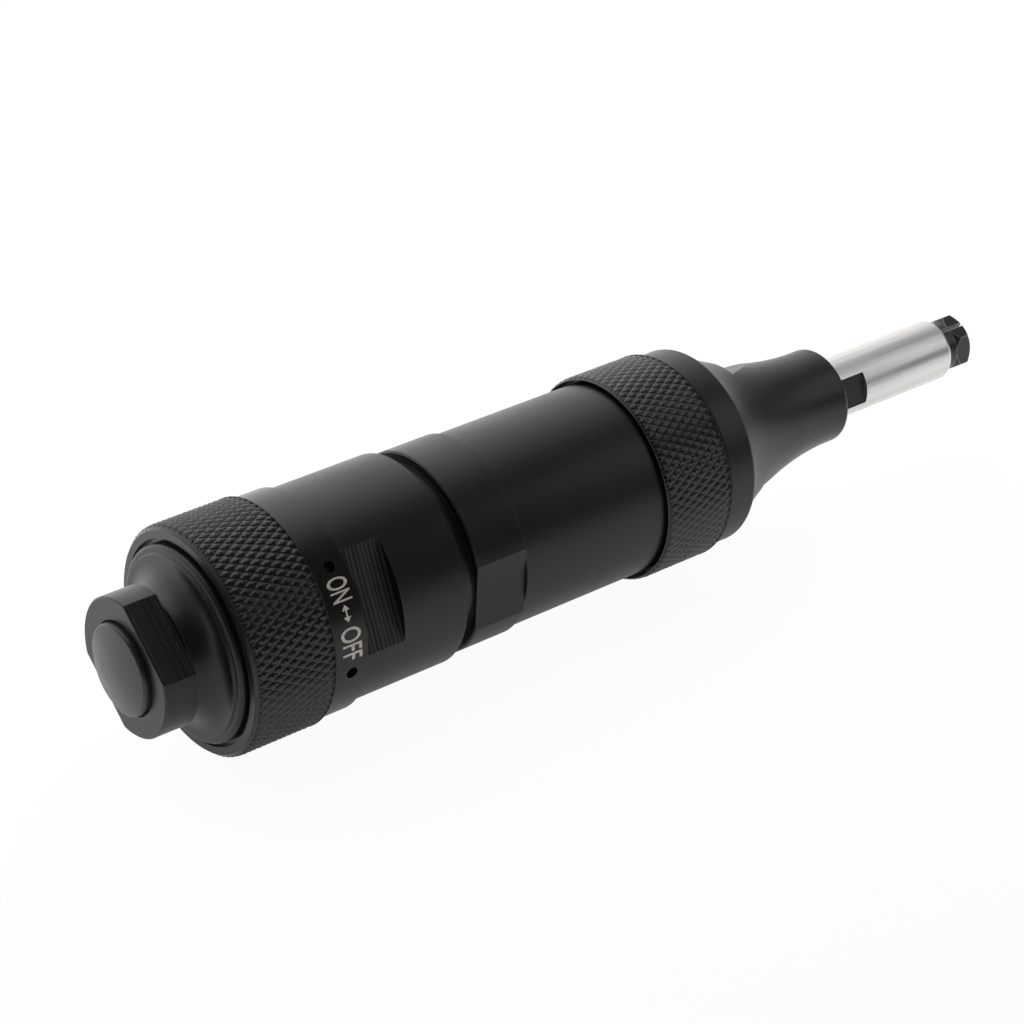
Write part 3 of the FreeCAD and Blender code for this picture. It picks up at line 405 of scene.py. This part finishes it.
ground_steel = bare_metal("ground_steel_finish", (0.84, 0.82, 0.80), 0.36, pitch=0.05,
                          shade=0.92, streak_and_reflection=0.35, flat=(-77.0, 4.97))
spring_steel = bare_metal("spring_steel_finish", (0.42, 0.42, 0.43), 0.35)
cast_iron = bare_metal("cast_iron_finish", (0.32, 0.32, 0.32), 0.5, pitch=0.2, depth=0.003,
                       shade=0.6)
aluminium = bare_metal("aluminium_finish", (0.72, 0.72, 0.73), 0.38, pitch=0.12)
bronze = bare_metal("bronze_finish", (0.60, 0.40, 0.20), 0.36, pitch=0.1)
bearing_steel = bare_metal("bearing_steel_finish", (0.75, 0.75, 0.76), 0.12, depth=0.0002)
black_oxide = oxidised("black_oxide_finish", (0.014, 0.013, 0.013), (0.62, 0.59, 0.57), 0.3,
                       1.0)
print("metal finishes:", 7)

# %% [markdown]
# ## Plastics, rubber, felt and the vanes
#
# None of these is turned, so they have a grain instead of lines. A noise at the size of the
# grain moves the colour, the gloss and the bump. The vanes are pressed from layers of cloth
# and resin, which show as bands, and the felt is long soft fibres.

# %% Non-metals
def grained(name, dark, light, roughness, grain, depth, stretch=(1.0, 1.0, 1.0)):
    """A moulded or pressed material whose noise grain is given in millimetres."""
    material, tree, shader = start_material(name, roughness)
    place = add(tree, "ShaderNodeTexCoord")
    drawn = add(tree, "ShaderNodeMapping", {0: place.outputs["Object"], 3: stretch})
    noise = add(tree, "ShaderNodeTexNoise",
                {"Vector": drawn.outputs[0], "Scale": 1.0 / (grain * MM), "Detail": 5.0})
    tree.links.new(mixed(tree, spread(tree, noise.outputs["Fac"], 0.0, 1.0), dark, light),
                   shader.inputs["Base Color"])
    tree.links.new(spread(tree, noise.outputs["Fac"], roughness - 0.06, roughness + 0.08),
                   shader.inputs["Roughness"])
    bumped(tree, shader, maths(tree, "MULTIPLY", noise.outputs["Fac"], depth))
    return material


plug_plastic = grained("plug_plastic_finish", (0.020, 0.020, 0.021), (0.030, 0.030, 0.031),
                       roughness=0.27, grain=3.0, depth=0.006)
seat_plastic = grained("seat_plastic_finish", (0.74, 0.73, 0.69), (0.84, 0.83, 0.79),
                       roughness=0.45, grain=0.6, depth=0.006)
nitrile = grained("nitrile_finish", (0.012, 0.012, 0.012), (0.022, 0.022, 0.022),
                  roughness=0.55, grain=0.3, depth=0.005)
felt = grained("felt_finish", (0.30, 0.28, 0.24), (0.52, 0.49, 0.43),
               roughness=0.95, grain=0.25, depth=0.06, stretch=(0.4, 1.0, 1.0))
vane_composite = grained("vane_composite_finish", (0.20, 0.11, 0.05), (0.38, 0.23, 0.12),
                         roughness=0.55, grain=0.35, depth=0.01, stretch=(0.15, 1.0, 3.0))
print("non-metal finishes:", 5)

# %% [markdown]
# ## Each part takes its finish
#
# The frame's record says which finish slot each part belongs to. Most parts simply take the
# finish of their slot. The inlet and the rear body take a black of their own, because their
# flats lie at different angles. The throttle's pins, at the bottom of their holes, take the
# plain black in place of their slot's finish, as painted shade for the holes.

# %% Finishes onto the parts
FINISHES = {
    "black_steel": black_plain,
    "black_oxide": black_oxide,
    "ground_steel": ground_steel,
    "spring_steel": spring_steel,
    "cast_iron": cast_iron,
    "plug_plastic": plug_plastic,
    "vane_composite": vane_composite,
    "seat_plastic": seat_plastic,
    "aluminium": aluminium,
    "nitrile": nitrile,
    "bronze": bronze,
    "bearing_steel": bearing_steel,
    "felt": felt,
}
# throttle_pins take the plain black: painted shade at the bottom of their holes
OWN_FINISHES = {"inlet_bush": black_bush, "rear_body": black_body, "throttle_pins": black_plain}

for name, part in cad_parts.items():
    slot_name = part.material_slots[0].material.name.split(".")[0]
    part.material_slots[0].material = OWN_FINISHES.get(name, FINISHES[slot_name])
print("parts with a finish:", len(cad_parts))

# %% [markdown]
# ## The knurls
#
# Two rings are knurled for grip: rollers pressed two families of slanted grooves into them,
# which leaves rows of little diamonds, each row half a step from the last. Modelling one
# diamond and repeating it is the natural way, and Geometry Nodes do it. The tree lays the
# diamonds out flat, in rows along the axis, then bends the whole sheet round the axis. Where
# the sheet passes the band's ends it is held back to them, and at the rear end a slope of 45
# degrees trims the tips, as the ring's own bevel does.

# %% The knurl tree
def knurl_tree():
    """A Geometry Nodes tree that makes a knurled band round the X axis."""
    tree = bpy.data.node_groups.new("Knurl", "GeometryNodeTree")
    sizes = ["Base Radius", "Height", "Start", "End", "Row Step", "Tip"]
    for label in sizes:
        tree.interface.new_socket(label, in_out="INPUT", socket_type="NodeSocketFloat")
    tree.interface.new_socket("Around", in_out="INPUT", socket_type="NodeSocketInt")
    tree.interface.new_socket("Rows", in_out="INPUT", socket_type="NodeSocketInt")
    tree.interface.new_socket("Material", in_out="INPUT", socket_type="NodeSocketMaterial")
    tree.interface.new_socket("Geometry", in_out="OUTPUT", socket_type="NodeSocketGeometry")
    given = tree.nodes.new("NodeGroupInput").outputs
    step_round = maths(tree, "DIVIDE", maths(tree, "MULTIPLY", given["Base Radius"], math.tau),
                       given["Around"])

    index = add(tree, "GeometryNodeInputIndex").outputs[0]
    row = maths(tree, "FLOOR", maths(tree, "DIVIDE", index, given["Around"]))
    column = maths(tree, "MODULO", index, given["Around"])
    shift = maths(tree, "MULTIPLY", maths(tree, "MODULO", row, 2.0), 0.5)
    spot = add(tree, "ShaderNodeCombineXYZ", {
        0: maths(tree, "MULTIPLY_ADD", row, given["Row Step"], given["Start"]),
        1: maths(tree, "MULTIPLY", maths(tree, "ADD", column, shift), step_round),
    })
    spots = add(tree, "GeometryNodePoints", {
        "Count": maths(tree, "MULTIPLY", given["Around"], given["Rows"]),
        "Position": spot.outputs[0],
    })

    square = add(tree, "GeometryNodeMeshGrid",
                 {"Size X": 2.0, "Size Y": 2.0, "Vertices X": 5, "Vertices Y": 5})
    corner = add(tree, "ShaderNodeSeparateXYZ", {0: add(tree, "GeometryNodeInputPosition").outputs[0]})
    pulled = []
    for axis in (0, 1):
        size = maths(tree, "ABSOLUTE", corner.outputs[axis])
        drawn_in = maths(tree, "POWER", size, 1.7)
        pulled.append(maths(tree, "MULTIPLY", drawn_in, maths(tree, "SIGN", corner.outputs[axis])))
    along = maths(tree, "MULTIPLY", maths(tree, "ADD", *pulled), 0.5)
    aside = maths(tree, "MULTIPLY", maths(tree, "SUBTRACT", *pulled), 0.5)
    edge_ward = maths(tree, "ADD", maths(tree, "ABSOLUTE", along), maths(tree, "ABSOLUTE", aside))
    slope = maths(tree, "DIVIDE", maths(tree, "SUBTRACT", 1.0, edge_ward),
                  maths(tree, "SUBTRACT", 1.0, given["Tip"]))
    diamond_place = add(tree, "ShaderNodeCombineXYZ", {
        0: maths(tree, "MULTIPLY", along, maths(tree, "MULTIPLY", given["Row Step"], 2.0)),
        1: maths(tree, "MULTIPLY", aside, step_round),
        2: maths(tree, "MULTIPLY", maths(tree, "MINIMUM", slope, 1.0), given["Height"]),
    })
    diamond = add(tree, "GeometryNodeSetPosition",
                  {"Geometry": square.outputs[0], "Position": diamond_place.outputs[0]})

    sheet = add(tree, "GeometryNodeInstanceOnPoints",
                {"Points": spots.outputs[0], "Instance": diamond.outputs[0]})
    sheet = add(tree, "GeometryNodeRealizeInstances", {0: sheet.outputs[0]})
    flat = add(tree, "ShaderNodeSeparateXYZ", {0: add(tree, "GeometryNodeInputPosition").outputs[0]})
    station = maths(tree, "MAXIMUM", flat.outputs[0], given["Start"])
    station = maths(tree, "MINIMUM", station, given["End"])
    rim = maths(tree, "ADD", given["Base Radius"], maths(tree, "SUBTRACT", station, given["Start"]))
    out = maths(tree, "MINIMUM", rim, maths(tree, "ADD", given["Base Radius"], flat.outputs[2]))
    angle = maths(tree, "DIVIDE", flat.outputs[1], given["Base Radius"])
    bent = add(tree, "ShaderNodeCombineXYZ", {
        0: station,
        1: maths(tree, "MULTIPLY", out, maths(tree, "SINE", angle)),
        2: maths(tree, "MULTIPLY", out, maths(tree, "COSINE", angle)),
    })
    band = add(tree, "GeometryNodeSetPosition",
               {"Geometry": sheet.outputs[0], "Position": bent.outputs[0]})
    band = add(tree, "GeometryNodeMergeByDistance",
               {"Geometry": band.outputs[0], "Distance": 2e-6})
    band = add(tree, "GeometryNodeSetMaterial",
               {"Geometry": band.outputs[0], "Material": given["Material"]})
    add(tree, "NodeGroupOutput", {0: band.outputs[0]})
    return tree


knurl = knurl_tree()
print("knurl tree:", len(knurl.nodes), "nodes")

# %% [markdown]
# ## From a tree to a plain mesh
#
# A modifier's inputs are set by their identifiers before the object is first evaluated. The
# evaluated result is then read into a plain mesh and the modifier goes away, because what is
# handed on must be a mesh. The ring under a knurl is a copy of the CAD ring whose outer
# surface is lowered to the floor of the grooves, joined with the band of diamonds.

# %% Knurled rings
def plain_mesh(tree, values):
    """The mesh that a tree makes from its named inputs."""
    holder = bpy.data.objects.new("holder", bpy.data.meshes.new("holder"))
    scene.collection.objects.link(holder)
    modifier = holder.modifiers.new("tree", "NODES")
    modifier.node_group = tree
    for item in tree.interface.items_tree:
        if item.in_out == "INPUT":
            modifier[item.identifier] = values[item.name]
    bpy.context.view_layer.update()
    evaluated = holder.evaluated_get(bpy.context.evaluated_depsgraph_get())
    mesh = bpy.data.meshes.new_from_object(evaluated)
    bpy.data.objects.remove(holder)
    return mesh


def merged_copy(node):
    """A CAD node's mesh as a new bmesh, its loose triangles joined up."""
    shape = bmesh.new()
    shape.from_mesh(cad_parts[node].data)
    bmesh.ops.remove_doubles(shape, verts=shape.verts, dist=1e-6)
    return shape


def knurled(node, body, floor, tip_radius, start, end, around, row_step):
    """A ring in place of a CAD ring, with its knurl cut from the tip radius down to a floor."""
    sink = 0.03 * MM  # the diamonds start this far below the groove's floor
    lip = 0.01 * MM  # the length of the step up to the plain band
    rows = math.ceil((end - start) / row_step) + 1
    band = plain_mesh(knurl, {
        "Base Radius": floor - sink,
        "Height": tip_radius - floor + sink,
        "Start": start,
        "End": end,
        "Row Step": (end - start) / (rows - 1),
        "Tip": 0.08,
        "Around": around,
        "Rows": rows,
        "Material": black_knurl,
    })
    ring = merged_copy(node)
    for station in (end - lip, end):
        everything = ring.verts[:] + ring.edges[:] + ring.faces[:]
        bmesh.ops.bisect_plane(ring, geom=everything, plane_co=(station, 0, 0),
                               plane_no=(1, 0, 0))
    for point in ring.verts:
        out = math.hypot(point.co.y, point.co.z)
        if out > floor and start < point.co.x < end - lip / 2:
            point.co.y *= floor / out
            point.co.z *= floor / out
            if point.co.x < start + RIM_REACH:
                point.co.x = start
    for edge in ring.edges:
        edge.smooth = edge.is_manifold and edge.calc_face_angle() < SHARP
    ring.from_mesh(band)
    mesh = bpy.data.meshes.new(node + "_knurled")
    ring.to_mesh(mesh)
    ring.free()
    mesh.materials.append(black_knurl)
    piece = bpy.data.objects.new(node + "_knurled", mesh)
    scene.collection.objects.link(piece)
    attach(piece, body)
    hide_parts(node)
    print(piece.name, "rows:", rows, "diamonds:", rows * around, "triangles:",
          sum(len(face.vertices) - 2 for face in mesh.polygons))


SHARP = math.radians(20)  # edges that turn more than this stay crisp
RIM_REACH = 1.0 * MM  # the CAD ring's rear bevel ends within this of its rear face
THROTTLE_GROOVE = 0.58 * MM
THROTTLE_REAR = 0.32 * MM  # from the ring's rear face to its knurl
THROTTLE_BAND = 7.05 * MM  # the plain marked band and the lip in front of the knurl
FRONT_GROOVE = 0.42 * MM
FRONT_REAR = 0.06 * MM
FRONT_LIP = 0.65 * MM

ring_low, ring_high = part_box("throttle_ring")
knurled("throttle_ring", "throttle", floor=ring_high.z - THROTTLE_GROOVE,
        tip_radius=ring_high.z, start=ring_low.x + THROTTLE_REAR,
        end=ring_high.x - THROTTLE_BAND, around=78, row_step=1.55 * MM)

front_low, front_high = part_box("front_ring")
knurled("front_ring", "housing", floor=front_high.z - FRONT_GROOVE,
        tip_radius=front_high.z, start=front_low.x + FRONT_REAR,
        end=front_high.x - FRONT_LIP, around=72, row_step=1.5 * MM)

# %% [markdown]
# ## The marks on the throttle ring
#
# The plain band says which way to turn the ring: ON, a double arrow and OFF, engraved by a
# laser and so pale against the black. Letters are easiest as text objects. Each is given a
# hair's thickness, made a mesh, cut into narrow strips so that it can bend, and wrapped round
# the band. Only the mesh is kept, with its place in its vertices.

# %% Marks
MARK_RISE = 0.03 * MM
STRIP = 0.3 * MM
LETTER_HEIGHT = 3.9 * MM
ARROW_HEIGHT = 1.5 * MM
band_radius = max(
    math.hypot(v.co.y, v.co.z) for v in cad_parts["throttle_ring"].data.vertices
    if v.co.x > ring_high.x - 2 * MM
)
mark_middle = ring_high.x - 3.25 * MM


def engraved_finish():
    """Pale laser engraving, browner along its edges."""
    material, tree, shader = start_material("laser_mark_finish", 0.55)
    place = add(tree, "ShaderNodeTexCoord")
    noise = add(tree, "ShaderNodeTexNoise",
                {"Vector": place.outputs["Object"], "Scale": 3500.0, "Detail": 3.0})
    edges = place_group(tree, edge_wear_and_highlight, Width=0.08, Amount=0.8)
    colour = mixed(tree, spread(tree, noise.outputs["Fac"], 0.0, 1.0), (0.62, 0.52, 0.42),
                   (1.0, 0.95, 0.88))
    colour = mixed(tree, edges.outputs[0], colour, (0.30, 0.19, 0.12))
    tree.links.new(colour, shader.inputs["Base Color"])
    bumped(tree, shader, maths(tree, "MULTIPLY", noise.outputs["Fac"], 0.01))
    return material


engraved = engraved_finish()


def wrapped(name, shape, first, last, height):
    """A flat shape scaled to an arc of the band, between two angles, and bent round it."""
    low = Vector([min(v.co[k] for v in shape.verts) for k in range(3)])
    high = Vector([max(v.co[k] for v in shape.verts) for k in range(3)])
    arc = math.radians(abs(last - first)) * band_radius
    size = high - low
    for point in shape.verts:
        point.co.x = (point.co.x - low.x) / size.x * arc
        point.co.y = ((point.co.y - low.y) / size.y - 0.5) * height
        point.co.z = ((point.co.z - low.z) / size.z * 2 - 1) * MARK_RISE
    for k in range(1, int(arc / STRIP) + 1):
        everything = shape.verts[:] + shape.edges[:] + shape.faces[:]
        bmesh.ops.bisect_plane(shape, geom=everything, plane_co=(k * STRIP, 0, 0),
                               plane_no=(1, 0, 0))
    for point in shape.verts:
        angle = math.radians(first) - point.co.x / band_radius
        out = band_radius + point.co.z
        point.co = (mark_middle + point.co.y, out * math.sin(angle), out * math.cos(angle))
    bmesh.ops.remove_doubles(shape, verts=shape.verts, dist=1e-6)
    bmesh.ops.recalc_face_normals(shape, faces=shape.faces)
    mesh = bpy.data.meshes.new(name)
    shape.to_mesh(mesh)
    shape.free()
    mesh.materials.append(engraved)
    piece = bpy.data.objects.new(name, mesh)
    scene.collection.objects.link(piece)
    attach(piece, "throttle")
    print(name, "triangles:", sum(len(face.vertices) - 2 for face in mesh.polygons))


def letters(words):
    """Text with a thickness, as a bmesh."""
    curve = bpy.data.curves.new(words, "FONT")
    curve.body = words
    curve.extrude = 0.02
    curve.offset = 0.012
    holder = bpy.data.objects.new(words, curve)
    scene.collection.objects.link(holder)
    bpy.context.view_layer.update()
    shape = bmesh.new()
    shape.from_mesh(holder.to_mesh())
    bpy.data.objects.remove(holder)
    return shape


def double_arrow(length, head, shaft):
    """A thin shaft with a head at each end, as a bmesh of a little thickness."""
    half = [(0, 0), (head, head * 0.8), (head, shaft), (length / 2, shaft)]
    upper = half + [(length - x, y) for x, y in reversed(half[:-1])]
    outline = upper + [(x, -y) for x, y in reversed(upper[1:-1])]
    shape = bmesh.new()
    lower, raised = [[shape.verts.new((x, y, z)) for x, y in outline] for z in (0, 1)]
    shape.faces.new(lower)
    shape.faces.new(raised)
    for k in range(len(outline)):
        shape.faces.new((lower[k - 1], lower[k], raised[k], raised[k - 1]))
    return shape


wrapped("mark_on", letters("ON"), -50, -62, LETTER_HEIGHT)
wrapped("mark_arrow", double_arrow(6.0, 1.9, 0.32), -63.6, -72.4, ARROW_HEIGHT)
wrapped("mark_off", letters("OFF"), -75, -92, LETTER_HEIGHT)

# %% [markdown]
# ## Floor and light
#
# Black gloss shows nothing of itself: what is seen on it is the room. A broad soft light high
# above gives the pale bands along the tops of the cylinders, and the darker space on the
# viewer's side leaves the deep black between. A small light is for the spindle alone. The
# floor is like a lit table: it glows more on the far side, which lights the undersides, and
# the camera sees it and the surroundings as white. The floor is only for the picture and is
# marked as such.

# %% Floor, lights and surroundings
def softbox(name, place, size, power, aim):
    """A square area light that faces a point and is hidden from the camera."""
    light = bpy.data.lights.new(name, "AREA")
    light.shape = "SQUARE"
    light.size = size
    light.energy = power
    lamp = bpy.data.objects.new(name, light)
    scene.collection.objects.link(lamp)
    lamp.location = Vector(place)
    lamp.rotation_euler = (Vector(aim) - lamp.location).to_track_quat("-Z", "Y").to_euler()
    lamp.visible_camera = False


middle = (cad_box[0] + cad_box[1]) / 2
spindle_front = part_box("spindle")[1].x
softbox("overhead", (-0.05, 0.35, 0.90), size=0.9, power=1.2, aim=middle)
softbox("spindle_card", (0.075, -0.10, 0.11), size=0.14, power=0.05, aim=(spindle_front, 0, 0))


def whiter_to_camera(tree, lit, share, output_input):
    """Mixes a lit shader with plain white for what the camera sees directly."""
    white = add(tree, "ShaderNodeEmission")
    seen = add(tree, "ShaderNodeLightPath").outputs["Is Camera Ray"]
    amount = maths(tree, "MULTIPLY", seen, share)
    both = add(tree, "ShaderNodeMixShader", {0: amount, 1: lit, 2: white.outputs[0]})
    tree.links.new(both.outputs[0], output_input)


BRIGHT_WAY = (0.0, 0.85, 0.25)
world = bpy.data.worlds.new("studio")
world.use_nodes = True
scene.world = world
sky = world.node_tree
way = add(sky, "ShaderNodeTexCoord").outputs["Generated"]
far_side = add(sky, "ShaderNodeVectorMath", {0: way, 1: BRIGHT_WAY}, operation="DOT_PRODUCT")
rise = add(sky, "ShaderNodeMapRange", {0: far_side.outputs["Value"], 1: -0.2, 2: 0.75})
glow = maths(sky, "MULTIPLY_ADD", maths(sky, "POWER", rise.outputs[0], 2.2), 1.25, 0.08)
sky.links.new(glow, sky.nodes["Background"].inputs[1])
sky.nodes["Background"].inputs[0].default_value = (1.0, 1.0, 1.0, 1.0)
whiter_to_camera(sky, sky.nodes["Background"].outputs[0], 1.0, sky.nodes["World Output"].inputs[0])

FLOOR_SIZE = 4.0
FLOOR_DROP = 0.1 * MM
NEAR_GLOW = 0.12
FAR_GLOW = 0.85
floor_shape = bmesh.new()
bmesh.ops.create_grid(floor_shape, x_segments=1, y_segments=1, size=FLOOR_SIZE / 2)
for point in floor_shape.verts:
    point.co.z = cad_box[0].z - FLOOR_DROP
floor_mesh = bpy.data.meshes.new("floor")
floor_shape.to_mesh(floor_mesh)
floor_shape.free()
floor = bpy.data.objects.new("floor", floor_mesh)
scene.collection.objects.link(floor)
floor_finish, floor_tree, floor_shader = start_material("floor_paper", 0.9)
floor_shader.inputs["Base Color"].default_value = (0.93, 0.93, 0.93, 1.0)
floor_place = add(floor_tree, "ShaderNodeTexCoord")
floor_split = add(floor_tree, "ShaderNodeSeparateXYZ", {0: floor_place.outputs["Object"]})
table_glow = add(floor_tree, "ShaderNodeMapRange", {
    0: floor_split.outputs[1],
    1: -0.12,
    2: 0.16,
    3: NEAR_GLOW,
    4: FAR_GLOW,
})
floor_shader.inputs["Emission Color"].default_value = (1.0, 1.0, 1.0, 1.0)
floor_tree.links.new(table_glow.outputs[0], floor_shader.inputs["Emission Strength"])
whiter_to_camera(floor_tree, floor_shader.outputs[0], 0.92,
                 floor_tree.nodes["Material Output"].inputs[0])
floor_mesh.materials.append(floor_finish)
floor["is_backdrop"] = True

# %% [markdown]
# ## The size, kept for comparison
#
# The finished object's box is measured as the CAD model's was, and the last line prints how
# much each side differs from the CAD box, in millimetres. The finished object's box must lie
# inside the CAD model's box.

# %% Sizes and finish
seen_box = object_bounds()
growth = [
    round((abs(seen_box[k][i]) - abs(cad_box[k][i])) / MM, 3) for k in (0, 1) for i in range(3)
]
print("visual box minus CAD box in mm:", growth)
